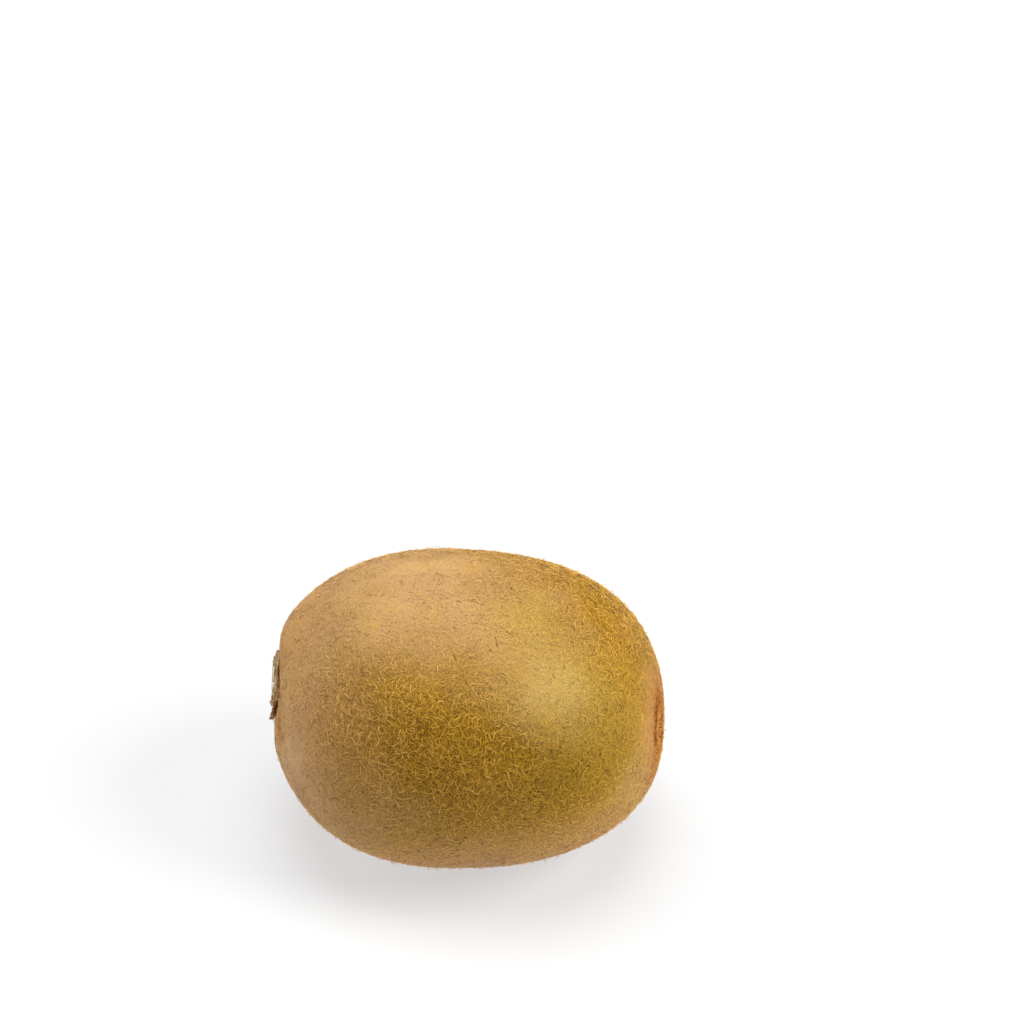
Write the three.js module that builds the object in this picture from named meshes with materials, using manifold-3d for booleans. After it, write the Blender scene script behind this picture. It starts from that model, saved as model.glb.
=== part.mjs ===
// A kiwi fruit, as picked, lying on its side: millimetres, +Z up, +X from the stem end to the blossom end.
// The fruit is one solid. Its dried calyx and its dried styles are pieces of their own, seated in its two ends.
import * as THREE from 'three';
import { mergeVertices } from 'three/addons/utils/BufferGeometryUtils.js';
import Module from 'manifold-3d';

const wasm = await Module();
wasm.setup();

// Driving dimensions of the fruit, before its resting flat is cut
const fruitLength = 66.3;
const fruitWidth = 55.0;
const fruitHeight = 51.9;
const restingCut = 0.45;

// How blunt each half is: 2 is an ellipse, and more is squarer
const blossomBluntness = 2.48;
const stemBluntness = 2.18;
// Share by which the girth grows towards the stem end
const stemFullness = 0.054;
// How far each end face leans, in millimetres along X for a millimetre along Y and Z
const stemLean = { y: 0.14, z: -0.028 };
const blossomLean = { y: -0.046, z: 0.115 };
// The lean fades towards the middle of the fruit as this power of the share of the half length
const leanFade = 4;
// Shallow hollows in the two end faces, each a little off the axis of the fruit
const stemHollow = { depth: 2.2, radius: 7.6, edge: 3, y: 1.5, z: 2.8 };
const blossomHollow = { depth: 1.3, radius: 5.2, edge: 2.4, y: -2.0, z: -1.0 };

// Gentle unevenness of the girth: share of the radius, waves round the fruit, phase, and twist along it
const swells = [
  { share: 0.003, waves: 2, phase: 0.9, twist: 1.6 },
  { share: 0.0025, waves: 3, phase: 2.1, twist: -1.9 },
  { share: 0.0015, waves: 5, phase: 0.4, twist: 2.6 },
];

// Clearance between touching pieces, and how deep a piece is made to reach before the fruit is cut from it
const seatGap = 0.3;
const rootDepth = 2.0;

// Faces of the fruit: rings from pole to pole, and sides round each ring
const fruitRings = 50;
const fruitSides = 72;

// The dried calyx at the stem end
const sepalCount = 5;
const sepalLength = 4.9;
const sepalWidth = 4.3;
const sepalThickness = 0.65;
const sepalRootRadius = 1.5;
const sepalRootHeight = 0.25;
const plateRadius = 3.2;
const stubRadius = 1.9;
const stubHeight = 1.7;

// The dried styles at the blossom end
const styleCount = 26;
const styleLength = 3.7;
const styleRadius = 0.36;
const bossRadius = 2.7;
const bossHeight = 0.6;

const skinMaterial = new THREE.MeshStandardMaterial({ color: 0xa8813f, roughness: 0.85, metalness: 0 });
const calyxMaterial = new THREE.MeshStandardMaterial({ color: 0x8a6f52, roughness: 0.9, metalness: 0 });
const styleMaterial = new THREE.MeshStandardMaterial({ color: 0x5d3f22, roughness: 0.9, metalness: 0 });

// Repeatable random numbers from 0 to 1
function seededRandom(seed) {
  let state = seed;
  return () => {
    state = (state * 1664525 + 1013904223) % 4294967296;
    return state / 4294967296;
  };
}

// A closed solid through rings of points, with a fan of faces from each end ring to its own tip point
function loft(rings, firstTip, lastTip) {
  const sides = rings[0].length;
  const points = [firstTip, ...rings.flat(), lastTip];
  const last = points.length - 1;
  const faces = [];
  for (let i = 0; i < sides; i++) {
    const j = (i + 1) % sides;
    faces.push(0, 1 + j, 1 + i);
    for (let k = 0; k < rings.length - 1; k++) {
      const near = 1 + k * sides;
      const far = near + sides;
      faces.push(near + i, near + j, far + i);
      faces.push(near + j, far + j, far + i);
    }
    const end = 1 + (rings.length - 1) * sides;
    faces.push(end + i, end + j, last);
  }
  const geometry = new THREE.BufferGeometry().setFromPoints(points);
  geometry.setIndex(faces);
  return geometry;
}

// A geometry as a solid that can be joined and cut. A loft that was made inside out is turned.
function solidOf(geometry) {
  const bare = new THREE.BufferGeometry().setAttribute('position', geometry.attributes.position);
  const plain = mergeVertices(bare.setIndex(geometry.index));
  const vertProperties = new Float32Array(plain.attributes.position.array);
  const triVerts = new Uint32Array(plain.index.array);
  const solid = new wasm.Manifold(new wasm.Mesh({ numProp: 3, vertProperties, triVerts }));
  if (solid.volume() > 0) {
    return solid;
  }
  return new wasm.Manifold(new wasm.Mesh({ numProp: 3, vertProperties, triVerts: triVerts.reverse() }));
}

function geometryOf(solid) {
  const mesh = solid.getMesh();
  const geometry = new THREE.BufferGeometry();
  geometry.setAttribute('position', new THREE.BufferAttribute(new Float32Array(mesh.vertProperties), 3));
  geometry.setIndex(new THREE.BufferAttribute(new Uint32Array(mesh.triVerts), 1));
  geometry.computeVertexNormals();
  return geometry;
}

// The largest piece of a solid, without the scraps that a cut leaves
function largestPiece(solid) {
  return solid.decompose().sort((a, b) => b.volume() - a.volume())[0];
}

// A point of the fruit's skin. polar runs from 0 at the blossom pole to pi at the stem pole, round goes about +X.
// dented is the share of the end hollows' depth.
function skinPoint(polar, round, dented = 1) {
  const along = Math.cos(polar);
  const across = Math.sin(polar);
  const power = along > 0 ? blossomBluntness : stemBluntness;
  const reach = (Math.abs(along) ** power + across ** power) ** (-1 / power);
  const t = reach * along;
  let girth = 1 - stemFullness * t;
  for (const { share, waves, phase, twist } of swells) {
    girth += share * Math.sin(waves * round + phase + twist * t);
  }
  const y = (fruitWidth / 2) * reach * across * girth * Math.cos(round);
  const z = (fruitHeight / 2) * reach * across * girth * Math.sin(round);
  const lean = t < 0 ? stemLean : blossomLean;
  const hollow = t < 0 ? stemHollow : blossomHollow;
  const away = Math.hypot(y - hollow.y, z - hollow.z);
  const dip = dented * hollow.depth * Math.exp(-((away / hollow.radius) ** hollow.edge));
  const leant = (lean.y * y + lean.z * z) * Math.abs(t) ** leanFade;
  const x = (fruitLength / 2) * t - leant - Math.sign(t) * dip;
  return new THREE.Vector3(x, y, z);
}

// Rings of skin points from pole to pole
function skinRings() {
  const rings = [];
  for (let k = 1; k <= fruitRings; k++) {
    const polar = (Math.PI * k) / (fruitRings + 1);
    const ring = [];
    for (let i = 0; i < fruitSides; i++) {
      ring.push(skinPoint(polar, (2 * Math.PI * i) / fruitSides));
    }
    rings.push(ring);
  }
  return rings;
}

// The fruit as a full body, grown outwards by a margin
function fullFruit(margin) {
  const rings = skinRings();
  const tips = [skinPoint(0, 0), skinPoint(Math.PI, 0)];
  const geometry = loft(rings, tips[0], tips[1]);
  geometry.computeVertexNormals();
  const position = geometry.attributes.position;
  const normal = geometry.attributes.normal;
  const outwards = Math.sign(normal.getX(0)) || 1;
  for (let i = 0; i < position.count; i++) {
    position.setXYZ(
      i,
      position.getX(i) + outwards * margin * normal.getX(i),
      position.getY(i) + outwards * margin * normal.getY(i),
      position.getZ(i) + outwards * margin * normal.getZ(i),
    );
  }
  return solidOf(geometry);
}

// The fruit with the small flat that it lies on
function fruitSolid() {
  const body = fullFruit(0);
  const lowest = body.boundingBox().min[2];
  const slab = new THREE.BoxGeometry(fruitLength, fruitWidth, fruitHeight);
  slab.translate(0, 0, lowest + restingCut - fruitHeight / 2);
  return body.subtract(solidOf(slab));
}

// A frame in the middle of an end hollow. It points out square to the skin as it would be without the hollow.
function endFrame(hollow) {
  const side = hollow === stemHollow ? -1 : 1;
  const round = Math.atan2(hollow.z / fruitHeight, hollow.y / fruitWidth);
  const share = (2 * Math.hypot(hollow.y / fruitWidth, hollow.z / fruitHeight)) / (1 - side * stemFullness);
  const polar = side > 0 ? Math.asin(share) : Math.PI - Math.asin(share);
  const step = 0.01;
  const down = skinPoint(polar + step, round, 0).sub(skinPoint(polar - step, round, 0));
  const about = skinPoint(polar, round + step, 0).sub(skinPoint(polar, round - step, 0));
  const out = down.cross(about).normalize();
  const across = new THREE.Vector3(0, 0, 1).cross(out).normalize();
  const up = out.clone().cross(across);
  const centre = skinPoint(polar, round);
  return (radius, angle, height) => centre
    .clone()
    .addScaledVector(across, radius * Math.cos(angle))
    .addScaledVector(up, radius * Math.sin(angle))
    .addScaledVector(out, height);
}

// A turned shape about an end's axis, from [radius, height] pairs, a little out of round
function turned(place, profile, sides, unevenness) {
  const rings = profile.slice(1, -1).map(([radius, height]) => {
    const ring = [];
    for (let i = 0; i < sides; i++) {
      const angle = (2 * Math.PI * i) / sides;
      const uneven = 1 + unevenness * Math.sin(3 * angle + height) + 0.6 * unevenness * Math.sin(5 * angle);
      ring.push(place(radius * uneven, angle, height));
    }
    return ring;
  });
  return solidOf(loft(rings, place(0, 0, profile[0][1]), place(0, 0, profile.at(-1)[1])));
}

// One dried sepal: a thin cupped leaf that runs outwards from the stub and curls up at its tip
function sepal(place, angle, length, width, lift, twist) {
  const steps = 8;
  const halfPoints = 4;
  const section = (share) => {
    const radius = sepalRootRadius + share * length;
    const rise = sepalRootHeight + lift * share ** 2.2;
    const half = (width / 2) * (Math.sin(Math.PI * (0.33 + 0.63 * share)) ** 0.9 + 0.05);
    const ring = [];
    for (let i = 0; i < 2 * halfPoints; i++) {
      const upper = i < halfPoints;
      const step = upper ? i : 2 * halfPoints - 1 - i;
      const v = (2 * step) / (halfPoints - 1) - 1;
      const cup = 0.65 * v * v * (1 - 0.4 * share);
      const face = upper ? sepalThickness : 0;
      const sideways = v * half;
      const tilt = twist * share * v * half;
      ring.push(place(Math.hypot(radius, sideways), angle + Math.atan2(sideways, radius), rise + cup + tilt + face));
    }
    return ring;
  };
  const rings = [];
  for (let k = 0; k <= steps; k++) {
    rings.push(section(k / steps));
  }
  const middle = (ring) => ring.reduce((sum, p) => sum.add(p), new THREE.Vector3()).divideScalar(ring.length);
  return solidOf(loft(rings, middle(rings[0]), middle(rings.at(-1))));
}

// The dried calyx: the stub of the stalk with its sepals, seated in the hollow of the stem end
function calyxSolid() {
  const place = endFrame(stemHollow);
  const plateTop = sepalRootHeight + sepalThickness;
  const stubProfile = [
    [0, -rootDepth],
    [plateRadius, -rootDepth],
    [plateRadius, 0.6 * plateTop],
    [1.15 * stubRadius, plateTop],
    [stubRadius, plateTop + 0.2],
    [0.9 * stubRadius, stubHeight],
    [0.62 * stubRadius, stubHeight + 0.15],
    [0.4 * stubRadius, stubHeight - 0.6],
    [0, stubHeight - 0.7],
  ];
  let calyx = turned(place, stubProfile, 20, 0.05);
  const random = seededRandom(7);
  for (let i = 0; i < sepalCount; i++) {
    const angle = (2 * Math.PI * i) / sepalCount + 0.35 + 0.5 * (random() - 0.5);
    const length = sepalLength * (0.78 + 0.4 * random());
    const width = sepalWidth * (0.8 + 0.35 * random());
    const lift = 0.2 + 0.6 * random();
    const twist = 0.5 * (random() - 0.5);
    calyx = calyx.add(sepal(place, angle, length, width, lift, twist));
  }
  return largestPiece(calyx.subtract(fullFruit(seatGap)));
}

// One dried style: a thin curled thread that tapers to its tip
function style(place, angle, radius, length, bend) {
  const steps = 4;
  const sides = 5;
  const path = new THREE.CatmullRomCurve3([
    place(radius, angle, -0.2),
    place(radius + 0.24 * length, angle + 0.3 * bend, bossHeight + 0.1 * length),
    place(radius + 0.62 * length, angle + 0.7 * bend, bossHeight + 0.12 * length),
    place(radius + 0.94 * length, angle + bend, bossHeight + 0.06 * length),
  ]);
  const frames = path.computeFrenetFrames(steps);
  const rings = [];
  for (let k = 0; k <= steps; k++) {
    const centre = path.getPointAt(k / steps);
    const thickness = styleRadius * (1 - (0.45 * k) / steps);
    const ring = [];
    for (let i = 0; i < sides; i++) {
      const turn = (2 * Math.PI * i) / sides;
      ring.push(
        centre
          .clone()
          .addScaledVector(frames.normals[k], thickness * Math.cos(turn))
          .addScaledVector(frames.binormals[k], thickness * Math.sin(turn)),
      );
    }
    rings.push(ring);
  }
  return solidOf(loft(rings, path.getPointAt(0), path.getPointAt(1)));
}

// The dried styles on their low boss, seated in the hollow of the blossom end
function styleTuftSolid() {
  const place = endFrame(blossomHollow);
  const bossProfile = [
    [0, -rootDepth],
    [bossRadius, -rootDepth],
    [bossRadius, 0.35 * bossHeight],
    [0.7 * bossRadius, 0.9 * bossHeight],
    [0.3 * bossRadius, bossHeight],
    [0, bossHeight],
  ];
  let tuft = turned(place, bossProfile, 18, 0.06);
  const random = seededRandom(23);
  const goldenAngle = Math.PI * (3 - Math.sqrt(5));
  for (let i = 0; i < styleCount; i++) {
    const radius = 0.75 * bossRadius * Math.sqrt((i + 0.5) / styleCount);
    const length = styleLength * (0.6 + 0.55 * random()) * (0.45 + (0.55 * radius) / bossRadius);
    const bend = 1.3 * (random() - 0.5);
    tuft = tuft.add(style(place, i * goldenAngle, radius, length, bend));
  }
  return largestPiece(tuft.subtract(fullFruit(seatGap)));
}

function namedMesh(name, solid, material) {
  const mesh = new THREE.Mesh(geometryOf(solid), material);
  mesh.name = name;
  return mesh;
}

const kiwi = new THREE.Group();
kiwi.add(namedMesh('fruit', fruitSolid(), skinMaterial));
kiwi.add(namedMesh('calyx', calyxSolid(), calyxMaterial));
kiwi.add(namedMesh('style_tuft', styleTuftSolid(), styleMaterial));

// The origin is under the middle of the whole object, on the surface that it lies on
const bounds = new THREE.Box3().setFromObject(kiwi);
const middle = bounds.getCenter(new THREE.Vector3());
kiwi.position.set(-middle.x, -middle.y, -bounds.min.z);

export default kiwi;
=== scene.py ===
import itertools
import math

import bpy
import numpy as np
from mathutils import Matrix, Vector


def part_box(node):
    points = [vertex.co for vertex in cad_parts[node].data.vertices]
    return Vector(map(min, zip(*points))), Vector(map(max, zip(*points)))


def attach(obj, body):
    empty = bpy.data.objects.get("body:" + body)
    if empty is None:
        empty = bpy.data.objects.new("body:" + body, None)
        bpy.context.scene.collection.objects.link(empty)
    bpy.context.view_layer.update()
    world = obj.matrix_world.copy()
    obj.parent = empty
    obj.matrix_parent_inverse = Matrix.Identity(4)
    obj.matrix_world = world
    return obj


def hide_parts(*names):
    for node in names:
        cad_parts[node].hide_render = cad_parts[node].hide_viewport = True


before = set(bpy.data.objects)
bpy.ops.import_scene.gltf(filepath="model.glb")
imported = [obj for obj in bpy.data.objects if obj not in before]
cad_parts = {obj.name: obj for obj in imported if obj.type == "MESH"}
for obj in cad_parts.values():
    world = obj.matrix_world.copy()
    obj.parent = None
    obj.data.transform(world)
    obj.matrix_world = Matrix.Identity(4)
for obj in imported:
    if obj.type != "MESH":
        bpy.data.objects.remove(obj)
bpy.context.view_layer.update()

# The fruit: one thin brown-green skin drawn tight over firm flesh, grown in one piece and lying on its side.
# It is a blunt ellipsoid, a little fuller towards the stalk, with a shallow hollow in each end. Lengths are
# in millimetres about the fruit's own middle until a mesh is made, and the stalk is at the low end of X.
MM = 0.001
FRUIT_LENGTH = 66.3
FRUIT_WIDTH = 55.0
FRUIT_HEIGHT = 51.9
BLOSSOM_BLUNTNESS = 2.48
STEM_BLUNTNESS = 2.18
STEM_FULLNESS = 0.054
# How far each end leans along X for a millimetre along Y and Z, and how fast that fades towards the middle
STEM_LEAN = (0.14, -0.028)
BLOSSOM_LEAN = (-0.046, 0.115)
LEAN_FADE = 4
# The hollow in each end: depth, radius, sharpness, and its middle along Y and Z
STEM_HOLLOW = (2.2, 7.6, 3, 1.5, 2.8)
BLOSSOM_HOLLOW = (1.3, 5.2, 2.4, -2.0, -1.0)
# Unevenness of the girth: share of the radius, waves round the fruit, phase, and twist along it
SWELLS = ((0.003, 2, 0.9, 1.6), (0.0025, 3, 2.1, -1.9), (0.0015, 5, 0.4, 2.6))
SKIN_RINGS = 150
SKIN_SIDES = 240
# Low bumps of the skin: how wide, how high, and the seed of their pattern
SKIN_BUMPS = ((7.0, 0.09, 11), (2.4, 0.05, 12), (0.9, 0.022, 13))
# The swollen shoulder over the stem end: its middle, radius and height
SHOULDER = ((-30, 2, 12), 6.5, 0.8)
# How far round each hollow the skin is red-brown, at the stem end and the blossom end
RED_ZONES = (12.5, 14.5)
# The red fades over this share of its zone
RED_FADE = 0.6
# A red-brown stain beside the stem end: its middle, radius and strength
STAIN = ((-30, -10, 2), 3, 0.65)
# Areas where skin and hair differ from the rest: middle, radius, how much paler, how powdery and sheened, how
# golden
# Most rows are painted light and shade. The darker rows paint shade on the front flank, which a row on the
# back
# The fourth column is partly powder on the hairs and partly a painted sheen, whitest on the top, and the
# first row
# paints the highlight. The last row makes the stain darker.
# repeats, and over the top; the paler rows paint light on the underside, low on the front and round both
# ends.
AREAS = (((15, -17, 17), 7, 0.0, 0.8, 0.8),
         ((-3, -27, 7), 15, -0.28, -0.2, 0.0),
         ((17, -24, 6), 8, -0.2, -0.1, 0.4),
         ((21, 6, 22), 11, -0.09, 0.0, -0.3),
         ((-8, 2, 26), 18, -0.05, 1.0, 0.0),
         ((3, -17, -18), 15, 0.68, 0.5, -0.2),
         ((-24, -17, -4), 10, 0.24, 0.5, 0.0),
         ((-28, -14, 3), 8, 0.1, 0.65, 0.0),
         ((20, -19, -10), 9, 0.42, 0.08, 0.0),
         ((30, -15, -3), 7, 0.25, 0.5, 0.0),
         ((0, 26, 2), 15, -0.2, -0.2, 0.0),
         ((25, -13, 10), 13, -0.09, 0.0, 0.8),
         ((12, -6, 25), 9, -0.04, 0.3, 0.6),
         ((-20, -19, -8), 8, 0.12, 0.3, 0.0),
         ((-22, -1, 20), 9, -0.2, 0.0, 0.0),
         ((-14, -17, 17), 6, -0.06, -0.1, 0.0),
         ((-10, -27, 0), 7, 0.24, 0.35, -0.2),
         (*STAIN[:2], -0.4, -0.3, 0.0))
# Random mottling of each colouring: how strong, how wide, and the seed of its pattern
PALE_MOTTLING = (0.08, 8, 24)
DUST_AND_SHEEN_MOTTLING = (0.15, 5, 26)
GOLDEN_MOTTLING = (0.25, 6, 27)
PINK_MOTTLING = (0.15, 6, 25)
RED_MOTTLING = (0.22, 1.8, 28)
# How far from each hollow's axis the hairs are fully matted, and over how many millimetres more that ends
MAT_RADII = (10, 8)
MAT_FADE = 9
# The pinkish tan is partly the fruit's colour and partly a painted sheen on the stem end and the underside.
# Where the pinkish tan starts along X and downwards, and over how many millimetres it grows to full strength
PINK_STEM_SIDE = (-6, 22)
PINK_UNDERSIDE = (-2, 16)
UNDERSIDE_STRENGTH = 0.9


def by_end(t, stem, blossom):
    """One value of the stem end where t is below 0, and of the blossom end elsewhere."""
    return np.where(t < 0, stem, blossom)


def skin_point(polar, turn, dented=1.0):
    """Points of the skin. polar is 0 at the blossom pole and pi at the stem pole, turn goes about +X."""
    along = np.cos(polar)
    across = np.abs(np.sin(polar)) + 1e-12
    power = by_end(along, STEM_BLUNTNESS, BLOSSOM_BLUNTNESS)
    reach = (np.abs(along) ** power + across ** power) ** (-1 / power)
    t = reach * along
    girth = 1 - STEM_FULLNESS * t
    for share, waves, phase, twist in SWELLS:
        girth = girth + share * np.sin(waves * turn + phase + twist * t)
    y = FRUIT_WIDTH / 2 * reach * across * girth * np.cos(turn)
    z = FRUIT_HEIGHT / 2 * reach * across * girth * np.sin(turn)
    leant = by_end(t, STEM_LEAN[0], BLOSSOM_LEAN[0]) * y + by_end(t, STEM_LEAN[1], BLOSSOM_LEAN[1]) * z
    depth, radius, edge, middle_y, middle_z = (by_end(t, a, b) for a, b in zip(STEM_HOLLOW, BLOSSOM_HOLLOW))
    dip = dented * depth * np.exp(-((np.hypot(y - middle_y, z - middle_z) / radius) ** edge))
    x = FRUIT_LENGTH / 2 * t - leant * np.abs(t) ** LEAN_FADE - np.sign(t) * dip
    return np.stack([x, y, z], axis=-1)


def unit(vectors):
    return vectors / np.linalg.norm(vectors, axis=-1, keepdims=True)


def skin_slopes(polar, turn, dented=1.0):
    """How far the skin runs for one radian along polar and along turn, as two vectors."""
    step = 1e-4
    down = (skin_point(polar + step, turn, dented) - skin_point(polar - step, turn, dented)) / (2 * step)
    round_it = (skin_point(polar, turn + step, dented) - skin_point(polar, turn - step, dented)) / (2 * step)
    return down, round_it


def skin_normal(polar, turn, dented=1.0):
    return unit(np.cross(*skin_slopes(polar, turn, dented)))


def nearness(points, spot, radius):
    """1 at a spot, and less with the distance from it, down to 0.37 at its radius."""
    away = np.linalg.norm(points - np.array(spot), axis=-1)
    return np.exp(-((away / radius) ** 2))


def swelling(points):
    """How far the shoulder stands out at each point."""
    return SHOULDER[2] * nearness(points, *SHOULDER[:2])


def eased(share):
    """A share from 0 to 1 that starts and ends gently."""
    return share * share * (3 - 2 * share)


def patches(points, size, seed):
    """A smooth random value from -1 to 1 at each point, which changes over about size millimetres."""
    cells = 40
    lattice = np.random.default_rng(seed).uniform(-1, 1, (cells, cells, cells))
    # Many whole lattices are added, so that no cell has a number below 0
    at = points / size + cells * 100
    cell = np.floor(at).astype(int)
    part = eased(at - cell)
    total = np.zeros(points.shape[:-1])
    for corner in itertools.product((0, 1), repeat=3):
        i, j, k = np.moveaxis((cell + corner) % cells, -1, 0)
        weight = np.prod(np.where(np.array(corner) == 1, part, 1 - part), axis=-1)
        total += weight * lattice[i, j, k]
    return total


def mottled(points, strength, size, seed):
    return strength * patches(points, size, seed)


def loft(rings, first_tip, last_tip):
    """A closed shape through rings of points, with a fan of faces from each end ring to its own tip."""
    count, sides = rings.shape[:2]
    points = np.vstack([first_tip, rings.reshape(-1, 3), last_tip])
    i = np.arange(sides)
    j = (i + 1) % sides
    faces = [np.stack([0 * i, 1 + j, 1 + i], axis=1)]
    for k in range(count - 1):
        near = 1 + k * sides
        far = near + sides
        faces.append(np.stack([near + i, near + j, far + i], axis=1))
        faces.append(np.stack([near + j, far + j, far + i], axis=1))
    end = 1 + (count - 1) * sides
    faces.append(np.stack([end + i, end + j, 0 * i + len(points) - 1], axis=1))
    return points, np.vstack(faces)


def mesh_piece(name, points, faces, material):
    """A smooth-shaded object in the row frame, from points in millimetres and triangles."""
    mesh = bpy.data.meshes.new(name)
    mesh.vertices.add(len(points))
    mesh.vertices.foreach_set("co", (points * MM + middle).astype(np.float32).ravel())
    mesh.loops.add(faces.size)
    mesh.loops.foreach_set("vertex_index", faces.astype(np.int32).ravel())
    mesh.polygons.add(len(faces))
    mesh.polygons.foreach_set("loop_start", np.arange(0, faces.size, 3, dtype=np.int32))
    mesh.update(calc_edges=True)
    mesh.shade_smooth()
    mesh.materials.append(material)
    piece = bpy.data.objects.new(name, mesh)
    bpy.context.scene.collection.objects.link(piece)
    return piece


def paint_value(piece, name, values):
    """Stores one number at each point of a piece, for its material to read."""
    layer = piece.data.attributes.new(name, "FLOAT", "POINT")
    layer.data.foreach_set("value", values.astype(np.float32))


def from_hollow(points):
    """How far points are from the axis of the nearer end's hollow."""
    middle_y, middle_z = (by_end(points[..., 0], a, b) for a, b in zip(STEM_HOLLOW[3:], BLOSSOM_HOLLOW[3:]))
    return np.hypot(points[..., 1] - middle_y, points[..., 2] - middle_z)


def end_redness(points):
    """1 in the hollows, and 0 from the edge of the red zone round each, but for the stain."""
    zone = by_end(points[..., 0], *RED_ZONES)
    in_zone = (zone - from_hollow(points)) / (RED_FADE * zone) + mottled(points, *RED_MOTTLING)
    in_stain = STAIN[2] * nearness(points, *STAIN[:2])
    return eased(np.clip(np.maximum(in_zone, 0) + in_stain, 0, 1))


def over_areas(points, column):
    """What the areas add up to at each point, from one column of their table."""
    total = np.zeros(points.shape[:-1])
    for area in AREAS:
        total += area[column] * nearness(points, *area[:2])
    return total


def shade(points):
    """How much paler than usual the skin and its hairs are: painted light and shade from the areas, and
    random mottling.
    """
    return over_areas(points, 2) + mottled(points, *PALE_MOTTLING)


def dust_and_sheen(points):
    """1 where the hairs have less colour: partly rubbed, powdered hairs, partly a painted sheen and
    highlight.
    """
    return np.clip(over_areas(points, 3) + mottled(points, *DUST_AND_SHEEN_MOTTLING), 0, 1)


def gold(points):
    """1 where the hairs are a greener gold, which they never are where they are red-brown."""
    golden = over_areas(points, 4) + mottled(points, *GOLDEN_MOTTLING)
    return np.clip(golden - 2 * end_redness(points), 0, 1)


def matting(points):
    """1 where the hairs are short and lie in a smooth mat: round both ends, and under the powder and the
    painted sheen.
    """
    from_rim = (from_hollow(points) - by_end(points[..., 0], *MAT_RADII)) / MAT_FADE
    return np.maximum(np.clip(1 - from_rim, 0, 1), dust_and_sheen(points))


def pink_tan_and_sheen(points):
    """1 where skin and hair are a dull pinkish tan, round the stem half's end and on the underside, partly a
    painted sheen.
    """
    stem_side, underside = (np.clip((start - points[..., axis]) / fade, 0, 1)
                            for axis, (start, fade) in ((0, PINK_STEM_SIDE), (2, PINK_UNDERSIDE)))
    pink = np.maximum(stem_side, UNDERSIDE_STRENGTH * underside)
    return np.clip(pink + mottled(points, *PINK_MOTTLING), 0, 1)


class Nodes:
    """The nodes of one material, with short ways to add and join them."""

    def __init__(self, name):
        self.material = bpy.data.materials.new(name)
        self.material.use_nodes = True
        self.tree = self.material.node_tree
        self.shader = self.tree.nodes["Principled BSDF"]
        self.place = self.tree.nodes.new("ShaderNodeTexCoord").outputs["Object"]

    def join(self, value, socket):
        if isinstance(value, bpy.types.NodeSocket):
            self.tree.links.new(value, socket)
        else:
            socket.default_value = value

    def noise(self, size, detail=3.0, rough=0.55, stretch=(1, 1, 1)):
        """Noise whose blotches are about size millimetres across, as a value round 0.5."""
        mapping = self.tree.nodes.new("ShaderNodeMapping")
        mapping.inputs["Scale"].default_value = stretch
        self.tree.links.new(self.place, mapping.inputs["Vector"])
        node = self.tree.nodes.new("ShaderNodeTexNoise")
        node.inputs["Scale"].default_value = 1 / (size * MM)
        node.inputs["Detail"].default_value = detail
        node.inputs["Roughness"].default_value = rough
        self.tree.links.new(mapping.outputs["Vector"], node.inputs["Vector"])
        return node.outputs["Fac"]

    def pits(self, size):
        """Distance from scattered centres about size millimetres apart."""
        node = self.tree.nodes.new("ShaderNodeTexVoronoi")
        node.inputs["Scale"].default_value = 1 / (size * MM)
        self.tree.links.new(self.place, node.inputs["Vector"])
        return node.outputs["Distance"]

    def painted(self, name):
        node = self.tree.nodes.new("ShaderNodeAttribute")
        node.attribute_name = name
        return node.outputs["Fac"]

    def ramp(self, value, *stops):
        """Colours or grey levels along a value, from (position, colour) pairs."""
        node = self.tree.nodes.new("ShaderNodeValToRGB")
        elements = node.color_ramp.elements
        while len(elements) < len(stops):
            elements.new(0.5)
        for element, (position, colour) in zip(elements, stops):
            element.position = position
            element.color = (*colour, 1) if isinstance(colour, tuple) else (colour, colour, colour, 1)
        self.join(value, node.inputs["Fac"])
        return node.outputs["Color"]

    def mix(self, factor, first, second, way="MIX"):
        node = self.tree.nodes.new("ShaderNodeMix")
        node.data_type = "RGBA"
        node.blend_type = way
        for value, socket in zip((factor, first, second), (node.inputs[0], node.inputs[6], node.inputs[7])):
            self.join((*value, 1) if isinstance(value, tuple) else value, socket)
        return node.outputs[2]

    def sum(self, way, first, second):
        """Arithmetic on two values, such as ADD or MULTIPLY."""
        node = self.tree.nodes.new("ShaderNodeMath")
        node.operation = way
        self.join(first, node.inputs[0])
        self.join(second, node.inputs[1])
        return node.outputs["Value"]

    def bump(self, height, depth):
        """Raises the surface by height, whose whole range stands for depth millimetres."""
        node = self.tree.nodes.new("ShaderNodeBump")
        node.inputs["Distance"].default_value = depth * MM
        node.inputs["Strength"].default_value = 1.0
        self.join(height, node.inputs["Height"])
        self.tree.links.new(node.outputs["Normal"], self.shader.inputs["Normal"])

    def finish(self, colour, roughness, specular=0.5, **fixed):
        self.join(colour, self.shader.inputs["Base Color"])
        self.join(roughness, self.shader.inputs["Roughness"])
        self.shader.inputs["Specular IOR Level"].default_value = specular
        for name, value in fixed.items():
            self.shader.inputs[name.replace("_", " ")].default_value = value
        return self.material


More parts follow.
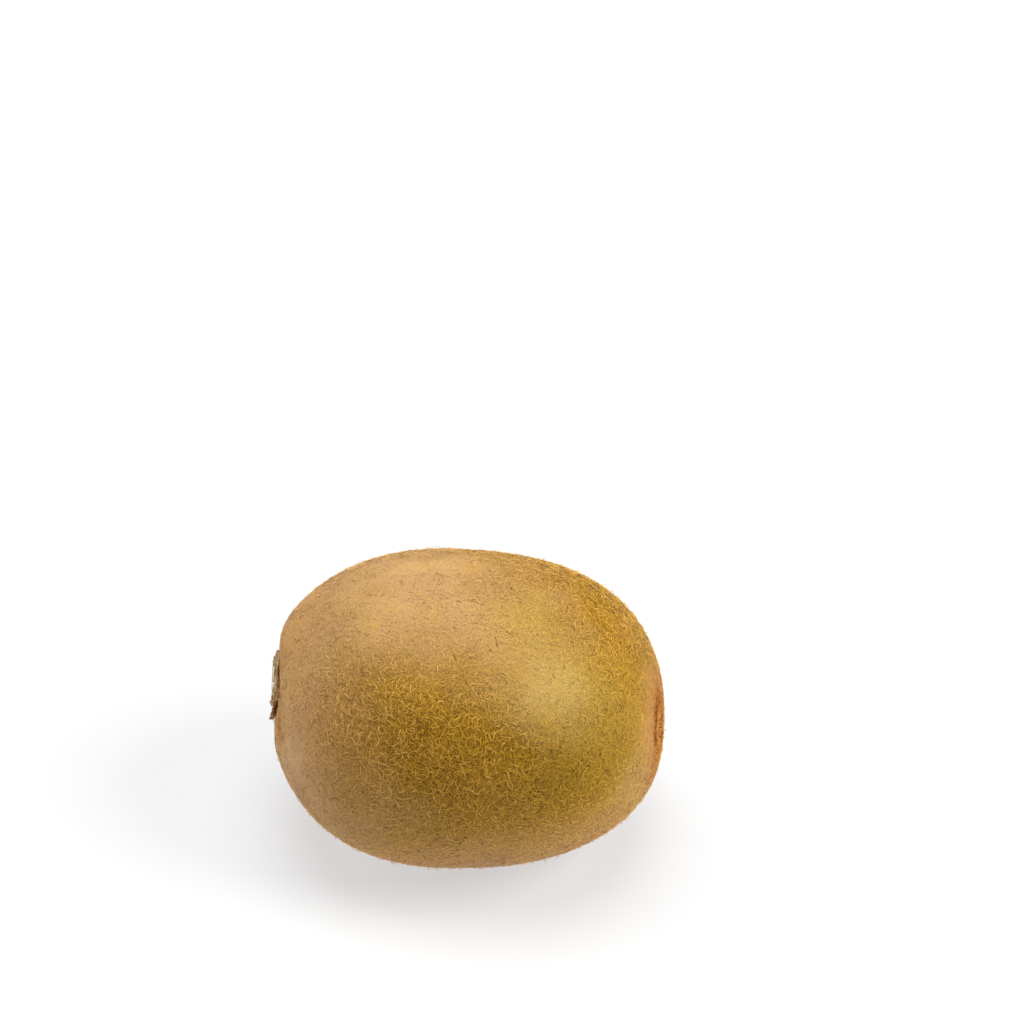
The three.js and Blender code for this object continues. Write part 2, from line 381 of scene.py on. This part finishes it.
def skin_material():
    n = Nodes("kiwi_skin")
    fine = n.noise(0.8, 4, 0.65)
    # The areas' painted light and shade, with random mottling, lighten or darken the skin's tone
    tone = n.sum("ADD", n.sum("MULTIPLY", n.noise(9, 2), 0.4), n.painted("shade"))
    colour = n.ramp(tone, (0.0, (0.15, 0.070, 0.004)), (0.2, (0.26, 0.131, 0.008)),
                    (0.6, (0.42, 0.223, 0.014)))
    # Pinkish tan, partly colour and partly a painted sheen, round the stem end and on the underside
    colour = n.mix(n.sum("MULTIPLY", n.painted("pink_tan_and_sheen"), 0.75), colour, (0.44, 0.228, 0.080))
    # Paler, whiter colour where the hairs are powdered and where a sheen and a highlight are painted
    colour = n.mix(n.sum("MULTIPLY", n.painted("dust_and_sheen"), 0.8), colour, (0.56, 0.349, 0.16))
    colour = n.mix(n.painted("gold"), colour, (0.97, 1.06, 0.7), "MULTIPLY")
    colour = n.mix(n.ramp(n.pits(1.3), (0.04, 0.75), (0.22, 0.0)), colour, (0.17, 0.087, 0.008))
    # Thin winding lines: the finest hairs, which are stuck to the skin
    winding = n.sum("ABSOLUTE", n.sum("SUBTRACT", n.noise(0.55, 1), 0.5), 0.0)
    colour = n.mix(n.ramp(winding, (0.006, 0.9), (0.035, 0.0)), colour, (0.66, 0.36, 0.035))
    red = n.sum("ADD", n.painted("end_redness"), n.sum("MULTIPLY", n.sum("SUBTRACT", fine, 0.5), 0.5))
    warm = n.ramp(red, (0.3, (0.58, 0.31, 0.08)), (0.9, (0.47, 0.205, 0.042)))
    colour = n.mix(n.ramp(red, (0.05, 0.0), (0.8, 0.9)), colour, warm)
    n.bump(n.sum("ADD", fine, n.sum("MULTIPLY", n.noise(0.25, 3), 0.5)), 0.09)
    return n.finish(colour, n.ramp(fine, (0.3, 0.42), (0.7, 0.58)), 0.12)


polar = np.pi * np.arange(1, SKIN_RINGS + 1) / (SKIN_RINGS + 1)
turn = 2 * np.pi * np.arange(SKIN_SIDES) / SKIN_SIDES
polar, turn = np.meshgrid(polar, turn, indexing="ij")
rings = skin_point(polar, turn)

# The fruit's middle in the row frame, from the box of the solid fruit
fruit_low, fruit_high = (np.array(corner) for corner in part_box("fruit"))
centre_of_box = (fruit_low + fruit_high) / 2
middle = centre_of_box - MM * (rings.min((0, 1)) + rings.max((0, 1))) / 2
middle[2] = fruit_high[2] - MM * rings[..., 2].max()
floor_height = -middle[2] / MM

bumps = swelling(rings) + sum(height * patches(rings, size, seed) for size, height, seed in SKIN_BUMPS)
rings = rings + bumps[..., None] * skin_normal(polar, turn)
rings[..., 2] = np.maximum(rings[..., 2], floor_height)
points, faces = loft(rings, skin_point(0.0, 0.0)[None], skin_point(np.pi, 0.0)[None])
skin = mesh_piece("skin", points, faces, skin_material())
paint_value(skin, "end_redness", end_redness(points))
paint_value(skin, "shade", shade(points))
paint_value(skin, "dust_and_sheen", dust_and_sheen(points))
paint_value(skin, "pink_tan_and_sheen", pink_tan_and_sheen(points))
paint_value(skin, "gold", gold(points))
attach(skin, "root")
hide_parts("fruit")

# The hairs: short, stiff and curled, they grow out of the whole skin. A dense coat of short ones lies flat on
# it, and longer golden ones curl and hook over that coat. Round both ends they are straighter and red-brown.
# Each one tapers to a point, and is a flat strip in the short coat and a ridged one in the long coat.
HAIR_BANDS = ("hairs_blossom_end", "hairs_blossom_half", "hairs_middle", "hairs_stem_half", "hairs_stem_end")
HAIR_VALUES = ("tone", "end_redness", "pink_tan_and_sheen", "dust_and_sheen", "gold")
# How deep the roots are in the skin, how far clear of it the rest is, and how much thinner the tip is
HAIR_SINK = 0.06
HAIR_CLEARANCE = 0.03
HAIR_TAPER = 0.65
# No hair grows this close to the axis of a hollow, under the dried calyx or styles
BARE_RADIUS = 2.6
# Each coat: how many hairs in a band, the share missing where they are matted, pieces of a hair, points
# across it, length, half width, lift, curl, hook at the tip, colour tone
# The short coat's darker tones are partly the hairs' own colour and partly painted shade under the long coat
SHORT_COAT = dict(count=32000, missing=0.0, steps=2, across=2, length=(0.6, 1.3), radius=(0.05, 0.075),
                  lift=(0.03, 0.1), curl=(0.3, 1.8), hook=(0.0, 0.6), tone=(0.2, 0.6))
LONG_COAT = dict(count=4600, missing=0.5, steps=4, across=3, length=(1.1, 2.5), radius=(0.05, 0.07),
                 lift=(0.1, 0.3), curl=(0.5, 2.7), hook=(0.3, 2.4), tone=(0.5, 1.05))
# How far roots stray along and round the skin, in radians, and what turns the hairs: the size and seed of two
# patterns, and how freely each hair strays from them
ROOT_SCATTER = (0.008, 0.015)
HEADING_PATTERNS = ((5, 21), (1.6, 22))
HEADING_SCATTER = 1.3
# How soon a hair bends back to the skin, where it stands and where it lies
STANDING_DROOP = (0.9, 1.4)
LYING_DROOP = (1.5, 2.0)
# The tone that hairs share more of where they are matted or golden, and how much of it
EVEN_TONE = 0.6
EVEN_WHERE_MATTED = 0.7
EVEN_WHERE_GOLDEN = 0.8
# The share of hairs that stand up, and of dark ones, everywhere and in places
STANDING = dict(everywhere=0.1, stubble=0.6)
DARK = dict(everywhere=0.03, rim=0.4, stubble=0.04, sheened_and_dusty=0.03)
# Where many hairs are dark: the radius and width of the rim round the stem end, and of the stubble round the
# dried styles, which also stands up
DARK_RIM = (10.5, 2.2)
STUBBLE = (4.3, 1.8)
STUBBLE_LIFT = 0.5
GOLDEN_ANGLE = math.pi * (3 - math.sqrt(5))


def even_roots(count):
    """Root places spread evenly over the skin, in order from the blossom pole to the stem pole."""
    ring_polar = np.linspace(0.001, np.pi - 0.001, 2000)
    ring_turn = np.linspace(0, 2 * np.pi, 48, endpoint=False)
    down, round_it = skin_slopes(*np.meshgrid(ring_polar, ring_turn, indexing="ij"))
    area = np.linalg.norm(np.cross(down, round_it), axis=-1).mean(1)
    filled = np.cumsum(area)
    share = (np.arange(count) + 0.5) / count
    return np.interp(share * filled[-1], filled, ring_polar), (GOLDEN_ANGLE * np.arange(count)) % (2 * np.pi)


def hair_triangles(steps, across):
    """Triangles of one hair, and the place of each of their corners along and across it."""
    corners = []
    for j in range(across - 1):
        for k in range(steps - 1):
            corners.append(((k, j), (k + 1, j + 1), (k, j + 1)))
            corners.append(((k, j), (k + 1, j), (k + 1, j + 1)))
        corners.append(((steps - 1, j), (steps, (across - 1) / 2), (steps - 1, j + 1)))
    corners = np.array(corners, float)
    tip = corners[..., 0] == steps
    index = np.where(tip, across * steps, across * corners[..., 0] + corners[..., 1]).astype(int)
    return index, corners


def hairs(roots, steps, across, heading, length, lift, droop, curl, hook, radius):
    """Points of hairs that leave the skin at roots, turn as they run along it, and rise and fall over it."""
    polar, turn = roots
    down, round_it = skin_slopes(polar, turn)
    down_scale = np.linalg.norm(down, axis=-1)
    round_scale = np.linalg.norm(round_it, axis=-1)
    path = []
    normals = []
    run_down = np.zeros(len(polar))
    run_round = np.zeros(len(polar))
    for k in range(steps + 1):
        share = k / steps
        at = (polar + run_down / down_scale, turn + run_round / round_scale)
        normal = skin_normal(*at)
        point = skin_point(*at)
        rise = lift * share * (2 - droop * share) + (HAIR_CLEARANCE if k else -HAIR_SINK)
        path.append(point + (rise + swelling(point))[:, None] * normal)
        normals.append(normal)
        ahead = share + 0.5 / steps
        way = heading + curl * ahead + hook * ahead ** 3
        run_down = run_down + length / steps * np.cos(way)
        run_round = run_round + length / steps * np.sin(way)
    path = np.stack(path, axis=1)
    normals = np.stack(normals, axis=1)
    forward = unit(np.gradient(path, axis=1))
    side = unit(np.cross(forward, normals))
    up = np.cross(side, forward)
    thick = radius[:, None] * (1 - HAIR_TAPER * (np.arange(steps) / steps) ** 1.5)
    rings = []
    for j in range(across):
        angle = math.pi * j / (across - 1)
        offset = math.cos(angle) * side[:, :steps] + math.sin(angle) * up[:, :steps]
        rings.append(path[:, :steps] + thick[..., None] * offset)
    rings = np.stack(rings, axis=2).reshape(len(polar), across * steps, 3)
    points = np.concatenate([rings, path[:, steps:]], axis=1)
    points[..., 2] = np.maximum(points[..., 2], floor_height + 0.01)
    return points


def grow(coat, band, random):
    """One coat of hairs on one band of the fruit: their points, and the values that colour each one."""
    run = slice(band * coat["count"], (band + 1) * coat["count"])
    polar, turn = (angles[run] for angles in even_roots(len(HAIR_BANDS) * coat["count"]))
    polar = polar + random.normal(0, ROOT_SCATTER[0], coat["count"])
    turn = turn + random.normal(0, ROOT_SCATTER[1], coat["count"])
    place = skin_point(polar, turn)
    keep = (from_hollow(place) > BARE_RADIUS) & (place[:, 2] > floor_height + HAIR_CLEARANCE)
    keep &= random.uniform(0, 1, coat["count"]) > coat["missing"] * matting(place)
    polar, turn, place = polar[keep], turn[keep], place[keep]
    count = len(polar)

    def draw(name):
        return random.uniform(*coat[name], count)

    red = end_redness(place)
    matted = matting(place)
    radius, width = (by_end(place[:, 0], rim, stubble) for rim, stubble in zip(DARK_RIM, STUBBLE))
    in_ring = np.exp(-(((from_hollow(place) - radius) / width) ** 2))
    in_rim = in_ring * (place[:, 0] < 0)
    in_stubble = in_ring * (place[:, 0] > 0)
    standing = random.uniform(0, 1, count) < STANDING["everywhere"] + STANDING["stubble"] * in_stubble
    heading = np.pi * sum(patches(place, size, seed) for size, seed in HEADING_PATTERNS)
    heading = heading + random.normal(0, HEADING_SCATTER, count)
    droop = np.where(standing, random.uniform(*STANDING_DROOP, count), random.uniform(*LYING_DROOP, count))
    lift = draw("lift") * (1 + 1.5 * standing) * (1 - 0.6 * matted)
    lift = lift + 0.08 * red + STUBBLE_LIFT * standing * in_stubble
    curl = draw("curl") * random.choice((-1, 1), count) * (1 - 0.5 * red)
    hook = draw("hook") * random.choice((-1, 1), count) * (1 - 0.5 * red)
    length = draw("length") * (1 - 0.35 * matted)
    tone = draw("tone") + 0.1 * patches(place, 1.2, 23)
    evenness = np.maximum(EVEN_WHERE_MATTED * matted, EVEN_WHERE_GOLDEN * gold(place))
    # The areas' painted light and shade, with random mottling, lighten or darken each hair's tone
    tone = tone + evenness * (EVEN_TONE - tone) + shade(place)
    dark_share = DARK["everywhere"] + DARK["rim"] * in_rim + DARK["stubble"] * in_stubble
    dark_share = dark_share + DARK["sheened_and_dusty"] * dust_and_sheen(place)
    tone = np.where(random.uniform(0, 1, count) < dark_share, 0.0, tone)
    points = hairs((polar, turn), coat["steps"], coat["across"], heading, length, lift, droop, curl, hook,
                   draw("radius"))
    return points, (np.clip(tone, 0, 1), red, pink_tan_and_sheen(place), dust_and_sheen(place), gold(place))


def hair_material():
    n = Nodes("kiwi_hair")
    colour = n.ramp(n.painted("tone"), (0.0, (0.18, 0.085, 0.005)), (0.15, (0.37, 0.191, 0.009)),
                    (0.5, (0.54, 0.281, 0.018)), (1.0, (0.82, 0.465, 0.090)))
    pinkish = n.ramp(n.painted("tone"), (0.2, (0.53, 0.286, 0.105)), (1.0, (0.80, 0.442, 0.180)))
    # Pinkish tan, partly colour and partly a painted sheen, round the stem end and on the underside
    colour = n.mix(n.sum("MULTIPLY", n.painted("pink_tan_and_sheen"), 0.75), colour, pinkish)
    # Paler, whiter colour where the hairs are powdered and where a sheen and a highlight are painted
    colour = n.mix(n.sum("MULTIPLY", n.painted("dust_and_sheen"), 0.8), colour, (0.65, 0.407, 0.21))
    colour = n.mix(n.painted("gold"), colour, (0.97, 1.06, 0.7), "MULTIPLY")
    warm = n.ramp(n.painted("end_redness"), (0.3, (0.74, 0.40, 0.08)), (0.9, (0.58, 0.24, 0.035)))
    colour = n.mix(n.ramp(n.painted("end_redness"), (0.0, 0.0), (0.8, 0.85)), colour, warm)
    colour = n.mix(n.ramp(n.painted("tone"), (0.0, 0.8), (0.05, 0.0)), colour, (0.21, 0.100, 0.008))
    return n.finish(colour, 0.45, 0.22)


hair_coat = hair_material()
for band, name in enumerate(HAIR_BANDS):
    random = np.random.default_rng(100 + band)
    points = []
    faces = []
    corners = []
    values = []
    start = 0
    for coat in (SHORT_COAT, LONG_COAT):
        coat_points, coat_values = grow(coat, band, random)
        hair_count, per_hair = coat_points.shape[:2]
        index, hair_corners = hair_triangles(coat["steps"], coat["across"])
        faces.append((index + start + per_hair * np.arange(hair_count)[:, None, None]).reshape(-1, 3))
        points.append(coat_points.reshape(-1, 3))
        corners.append((hair_count, hair_corners / (coat["steps"], coat["across"] - 1)))
        values.append(np.repeat(coat_values, per_hair, axis=1))
        start += hair_count * per_hair
    piece = mesh_piece(name, np.vstack(points), np.vstack(faces), hair_coat)
    for value_name, listed in zip(HAIR_VALUES, np.concatenate(values, axis=1)):
        paint_value(piece, value_name, listed)
    # Each hair has a cell of its own on the map, with its length along one side of it and a margin round it
    margin = 0.1
    total = sum(count for count, _ in corners)
    cells = math.ceil(math.sqrt(total))
    places = []
    first = 0
    for hair_count, hair_corners in corners:
        cell = np.stack(np.divmod(np.arange(first, first + hair_count), cells), axis=-1)
        local = margin + (1 - 2 * margin) * hair_corners
        places.append(((cell[:, None, None] + local) / cells).reshape(-1, 2))
        first += hair_count
    layer = piece.data.uv_layers.new(name="OFBake")
    layer.uv.foreach_set("vector", np.vstack(places).astype(np.float32).ravel())
    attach(piece, "root")

# The calyx: five dried sepals round the stub where the stalk broke off, one dry papery piece that sits in the
# hollow of the stem end. The sepals are thin, wrinkled and cupped, and their edges fray into threads.
SEPAL_COUNT = 5
SEPAL_LENGTH = 4.9
SEPAL_WIDTH = 4.3
SEPAL_THICKNESS = 0.15
SEPAL_CUP = 0.75
SEPAL_FOLDS = 0.2
FLAKE_COUNT = 7
SEPAL_ROOT_RADIUS = 1.5
SEPAL_ROOT_HEIGHT = 0.45
STUB_HEIGHT = 1.25
# The frayed threads: how many, half width, how much wider the tip is, and how far they arch
FIBRE_COUNT = 34
FIBRE_RADIUS = 0.11
FIBRE_KNOB = 0.2
FIBRE_ARCH = 0.05
CALYX_SEED = 7


def steady_random(seed):
    """Repeatable numbers from 0 to 1."""
    state = seed
    while True:
        state = (state * 1664525 + 1013904223) % 4294967296
        yield state / 4294967296


def end_place(hollow):
    """A way to place points about an end hollow, by radius, angle and height above its middle."""
    side = -1 if hollow is STEM_HOLLOW else 1
    across_y, across_z = hollow[3] / FRUIT_WIDTH, hollow[4] / FRUIT_HEIGHT
    turn = math.atan2(across_z, across_y)
    share = 2 * math.hypot(across_y, across_z) / (1 - side * STEM_FULLNESS)
    polar = math.asin(share) if side > 0 else math.pi - math.asin(share)
    out = skin_normal(polar, turn, 0.0)
    across = unit(np.cross((0, 0, 1), out))
    up = np.cross(out, across)
    centre = skin_point(polar, turn)

    def place(radius, angle, height):
        radius, angle, height = (np.asarray(value, float)[..., None] for value in (radius, angle, height))
        return centre + radius * np.cos(angle) * across + radius * np.sin(angle) * up + height * out

    return place


def joined(parts):
    """Several closed shapes as the points and faces of one mesh."""
    starts = np.cumsum([0] + [len(points) for points, _ in parts[:-1]])
    points = np.vstack([points for points, _ in parts])
    faces = np.vstack([faces + start for (_, faces), start in zip(parts, starts)])
    return points, faces


def sepal(place, angle, length, width, lift, twist, seed):
    """A thin cupped and wrinkled leaf from the stub outwards."""
    steps = 26
    across = 15
    share = np.linspace(0, 1, steps + 1)[:, None]
    v = np.linspace(-1, 1, across)[None]
    radius = SEPAL_ROOT_RADIUS + share * length
    ragged = 1 + 0.1 * np.sin(19 * share + 3 * seed) + 0.08 * np.sin(43 * share + seed)
    half = width / 2 * (np.sin(np.pi * (0.33 + 0.63 * share)) ** 0.9 + 0.05) * ragged
    sideways = v * half
    cup = SEPAL_CUP * v * v * (1 - 0.4 * share)
    folds = SEPAL_FOLDS * np.sin(7 * v + 2.5 * share + seed) * share ** 0.5
    rise = SEPAL_ROOT_HEIGHT + lift * share ** 2.2 + cup + twist * share * sideways + folds
    flat = np.stack(np.broadcast_arrays(radius, sideways, rise), axis=-1)
    rise = rise + 0.2 * patches(flat, 1.1, 30 + seed) + 0.08 * patches(flat, 0.4, 40 + seed)
    thick = SEPAL_THICKNESS * (1 - 0.55 * v * v) * (1 - 0.5 * share)
    far = np.hypot(radius, sideways)
    swing = angle + np.arctan2(sideways, np.broadcast_to(radius, sideways.shape))
    upper = place(far, swing, rise + thick / 2)
    lower = place(far, swing, rise - thick / 2)
    rings = np.concatenate([upper, lower[:, ::-1]], axis=1)
    return loft(rings, rings[0].mean(0)[None], rings[-1].mean(0)[None])


def turned(place, profile, sides, unevenness, seed):
    """A turned shape from (radius, height) pairs, a little out of round and rough."""
    angle = 2 * np.pi * np.arange(sides) / sides
    rings = []
    for radius, height in profile[1:-1]:
        uneven = 1 + unevenness * (np.sin(3 * angle + height) + 0.6 * np.sin(5 * angle))
        ridged = 1 + 0.05 * np.sin(17 * angle + 2 * height) + 0.04 * np.sin(29 * angle)
        rings.append(place(radius * uneven * ridged, angle, height + 0 * angle))
    rings = np.stack(rings)
    rings = rings + 0.07 * patches(rings, 0.6, seed)[..., None]
    tips = [place(0.0, 0.0, profile[end][1])[None] for end in (0, -1)]
    return loft(rings, *tips)


def dried_thread(place, angle, radius, length, bend, heights, rise, half_width, knob):
    """One dried thread from radius outwards, wavy, between two heights, with a knob at its tip."""
    steps = 12
    sides = 6
    share = np.linspace(0, 1, steps + 1)
    out = radius + 0.94 * length * share
    swing = angle + bend * share ** 1.3 + 0.09 * np.sin(9 * share + 7 * angle)
    lift = heights[0] + (heights[1] - heights[0]) * share + rise * length * np.sin(np.pi * share ** 0.8)
    path = place(out, swing, lift)
    forward = unit(np.gradient(path, axis=0))
    outwards = place(0.0, 0.0, 1.0) - place(0.0, 0.0, 0.0)
    side = unit(np.cross(forward, outwards))
    up = np.cross(side, forward)
    thick = half_width * (1 - 0.5 * share + knob * np.exp(-(((share - 0.97) / 0.06) ** 2)))
    turns = 2 * np.pi * np.arange(sides) / sides
    across = np.cos(turns)[None, :, None] * side[:, None] + np.sin(turns)[None, :, None] * up[:, None]
    rings = path[:, None] + thick[:, None, None] * across
    return loft(rings, path[:1], path[-1:])


def calyx_material():
    n = Nodes("dried_sepals")
    streaks = n.noise(0.9, 4, 0.6, (1, 0.5, 2))
    fine = n.noise(0.3, 4, 0.7)
    colour = n.ramp(streaks, (0.3, (0.38, 0.215, 0.080)), (0.5, (0.66, 0.48, 0.25)),
                    (0.7, (0.88, 0.70, 0.42)))
    colour = n.mix(n.ramp(fine, (0.35, 0.75), (0.55, 0.0)), colour, (0.12, 0.05, 0.018))
    n.bump(n.sum("ADD", streaks, fine), 0.18)
    return n.finish(colour, 0.75, 0.3)


place_at_stem = end_place(STEM_HOLLOW)
# Radius and height of the stub, from its foot over its rim into the dent where the stalk broke off
stub_profile = ((0, -0.6), (3.0, -0.6), (2.8, 0.1), (2.3, 0.4), (1.6, 0.55), (1.35, 0.75), (1.25, 0.9),
                (1.2, STUB_HEIGHT - 0.1), (1.0, STUB_HEIGHT), (0.75, STUB_HEIGHT - 0.05),
                (0.6, STUB_HEIGHT - 0.4), (0.4, STUB_HEIGHT - 0.6), (0, STUB_HEIGHT - 0.65))
shapes = [turned(place_at_stem, stub_profile, 72, 0.05, 50)]
draw = steady_random(CALYX_SEED)
for i in range(SEPAL_COUNT):
    angle = 2 * math.pi * i / SEPAL_COUNT + 0.35 + 0.5 * (next(draw) - 0.5)
    length = SEPAL_LENGTH * (0.78 + 0.4 * next(draw))
    width = SEPAL_WIDTH * (0.8 + 0.35 * next(draw))
    lift = 0.2 + 0.7 * next(draw)
    twist = 0.5 * (next(draw) - 0.5)
    shapes.append(sepal(place_at_stem, angle, length, width, lift, twist, i))
for i in range(FLAKE_COUNT):
    angle = 2 * math.pi * (i + 0.8 * next(draw)) / FLAKE_COUNT
    length = SEPAL_LENGTH * (0.45 + 0.5 * next(draw))
    width = SEPAL_WIDTH * (0.2 + 0.2 * next(draw))
    lift = 0.2 + 0.8 * next(draw)
    shapes.append(sepal(place_at_stem, angle, length, width, lift, next(draw) - 0.5, 10 + i))
for i in range(FIBRE_COUNT):
    angle = 2 * math.pi * (i + next(draw)) / FIBRE_COUNT
    radius = 1.5 + 2.5 * next(draw)
    length = 2.2 + 1.8 * next(draw)
    bend = 2.6 * (next(draw) - 0.5)
    heights = (0.5 + 0.15 * radius, 0.9 + 0.5 * next(draw))
    shapes.append(dried_thread(place_at_stem, angle, radius, length, bend, heights, FIBRE_ARCH,
                               FIBRE_RADIUS, FIBRE_KNOB))
calyx = mesh_piece("calyx_dried", *joined(shapes), calyx_material())
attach(calyx, "root")
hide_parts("calyx")

# The dried styles: a tuft of dark curled threads on a low boss in the hollow of the blossom end, what is left
# of the flower. They fan outwards, cross each other and end in small knobs.
STYLE_COUNT = 46
STYLE_LENGTH = 3.9
STYLE_RADIUS = 0.17
STYLE_KNOB = 0.55
BOSS_RADIUS = 2.7
BOSS_HEIGHT = 0.6
STYLE_SEED = 23


def style_material():
    n = Nodes("dried_styles")
    streaks = n.noise(0.7, 3)
    colour = n.ramp(streaks, (0.3, (0.17, 0.065, 0.012)), (0.5, (0.52, 0.21, 0.025)),
                    (0.7, (0.74, 0.34, 0.06)))
    n.bump(n.noise(0.2, 3), 0.05)
    return n.finish(colour, 0.7, 0.35)


place_at_blossom = end_place(BLOSSOM_HOLLOW)
# Radius and height of the boss, from its foot to its top
boss_profile = ((0, -0.4), (BOSS_RADIUS, -0.4), (0.95 * BOSS_RADIUS, 0.2 * BOSS_HEIGHT),
                (0.75 * BOSS_RADIUS, 0.6 * BOSS_HEIGHT), (0.5 * BOSS_RADIUS, 0.9 * BOSS_HEIGHT),
                (0.25 * BOSS_RADIUS, BOSS_HEIGHT), (0, BOSS_HEIGHT))
shapes = [turned(place_at_blossom, boss_profile, 60, 0.06, 51)]
draw = steady_random(STYLE_SEED)
for i in range(STYLE_COUNT):
    radius = 0.8 * BOSS_RADIUS * math.sqrt((i + 0.5) / STYLE_COUNT)
    length = STYLE_LENGTH * (0.55 + 0.55 * next(draw)) * (0.4 + 0.6 * radius / BOSS_RADIUS)
    bend = 1.6 * (next(draw) - 0.5)
    rise = 0.02 + 0.16 * next(draw)
    heights = (0.6 * BOSS_HEIGHT, 0.9 * BOSS_HEIGHT)
    shapes.append(dried_thread(place_at_blossom, i * GOLDEN_ANGLE, radius, length, bend, heights, rise,
                               STYLE_RADIUS, STYLE_KNOB))
styles = mesh_piece("styles_dried", *joined(shapes), style_material())
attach(styles, "root")
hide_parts("style_tuft")

# The table: a plain white surface without a seam, large enough that no view reaches its edge. It isn't part
# of the fruit.
TABLE_SIZE = 60.0
TABLE_COLOUR = (0.33, 0.33, 0.33, 1)
TABLE_GLOW = (0.95, 0.972, 1, 1)
TABLE_GLOW_STRENGTH = 0.56
table_mesh = bpy.data.meshes.new("table")
half = TABLE_SIZE / 2
corners = [(-half, -half, 0), (half, -half, 0), (half, half, 0), (-half, half, 0)]
table_mesh.from_pydata(corners, [], [(0, 1, 2, 3)])
table = bpy.data.objects.new("table", table_mesh)
bpy.context.scene.collection.objects.link(table)
white = Nodes("white_table")
table_mesh.materials.append(white.finish(TABLE_COLOUR, 0.6, 0.2, Emission_Color=TABLE_GLOW,
                                         Emission_Strength=TABLE_GLOW_STRENGTH))


# The light: a soft ceiling over the fruit, and soft windows to the right and low on the left. Each has its
# azimuth to the right of the front and its height, in degrees, its strength, how wide it looks in degrees,
# and its colour. The room round it glows a little, more so near the ground.
CEILING = (184, 84, 2.5, 44, (1.0, 0.99, 0.97))
RIGHT_WINDOW = (79, 41, 2.4, 30, (1.0, 0.985, 0.955))
LEFT_WINDOW = (251, 24, 1.5, 50, (1.0, 0.99, 0.975))
LOW_GLOW = 0.12
HIGH_GLOW = 0.08


def soft_light(name, azimuth, elevation, strength, width, colour):
    """A light so far off that it is the same everywhere."""
    azimuth = math.radians(azimuth)
    elevation = math.radians(elevation)
    level = math.cos(elevation)
    towards = Vector((math.sin(azimuth) * level, -math.cos(azimuth) * level, math.sin(elevation)))
    light = bpy.data.lights.new(name, "SUN")
    light.energy = strength
    light.angle = math.radians(width)
    light.color = colour
    lamp = bpy.data.objects.new(name, light)
    lamp.rotation_mode = "QUATERNION"
    lamp.rotation_quaternion = towards.to_track_quat("Z", "Y")
    bpy.context.scene.collection.objects.link(lamp)


soft_light("ceiling", *CEILING)
soft_light("window_right", *RIGHT_WINDOW)
soft_light("window_left", *LEFT_WINDOW)
world = bpy.data.worlds.new("studio")
bpy.context.scene.world = world
world.use_nodes = True
tree = world.node_tree
direction = tree.nodes.new("ShaderNodeTexCoord").outputs["Generated"]
split = tree.nodes.new("ShaderNodeSeparateXYZ")
tree.links.new(direction, split.inputs["Vector"])
glow = tree.nodes.new("ShaderNodeValToRGB")
glow.color_ramp.elements[0].position = 0.12
glow.color_ramp.elements[0].color = (LOW_GLOW, LOW_GLOW, LOW_GLOW, 1)
glow.color_ramp.elements[1].position = 0.4
glow.color_ramp.elements[1].color = (HIGH_GLOW, HIGH_GLOW, HIGH_GLOW, 1)
tree.links.new(split.outputs["Z"], glow.inputs["Fac"])
tree.links.new(glow.outputs["Color"], tree.nodes["Background"].inputs["Color"])
tree.nodes["Background"].inputs["Strength"].default_value = 1.0
bpy.context.scene.view_settings.view_transform = "Standard"

# The camera: it looks down on the fruit's side from a little under a metre, and is aimed past the fruit so
# that the fruit lies low and left of the middle of the frame.
CAMERA_ELEVATION = 40.0
CAMERA_AZIMUTH = 3.7
CAMERA_DISTANCE = 750.0
PHOTO_SIDE = 1024
PIXELS_TO_A_MILLIMETRE = 5.945
FRUIT_PIXEL = (463.7, 707.1)
SENSOR_WIDTH = 36.0

azimuth = math.radians(CAMERA_AZIMUTH)
elevation = math.radians(CAMERA_ELEVATION)
level = math.cos(elevation)
back = Vector((math.sin(azimuth) * level, -math.cos(azimuth) * level, math.sin(elevation)))
right = Vector((math.cos(azimuth), math.sin(azimuth), 0))
up = back.cross(right)
fruit_middle = Vector(middle)
aim = fruit_middle + right * ((PHOTO_SIDE / 2 - FRUIT_PIXEL[0]) / PIXELS_TO_A_MILLIMETRE * MM)
aim = aim + up * ((FRUIT_PIXEL[1] - PHOTO_SIDE / 2) / PIXELS_TO_A_MILLIMETRE * MM)
camera_data = bpy.data.cameras.new("camera")
camera_data.sensor_width = SENSOR_WIDTH
camera_data.lens = SENSOR_WIDTH * CAMERA_DISTANCE * PIXELS_TO_A_MILLIMETRE / PHOTO_SIDE
camera_data.clip_start = 0.01
camera_data.clip_end = 200.0
camera = bpy.data.objects.new("camera", camera_data)
camera.location = fruit_middle + back * CAMERA_DISTANCE * MM
camera.rotation_mode = "QUATERNION"
camera.rotation_quaternion = (camera.location - aim).to_track_quat("Z", "Y")
bpy.context.scene.collection.objects.link(camera)
bpy.context.scene.camera = camera
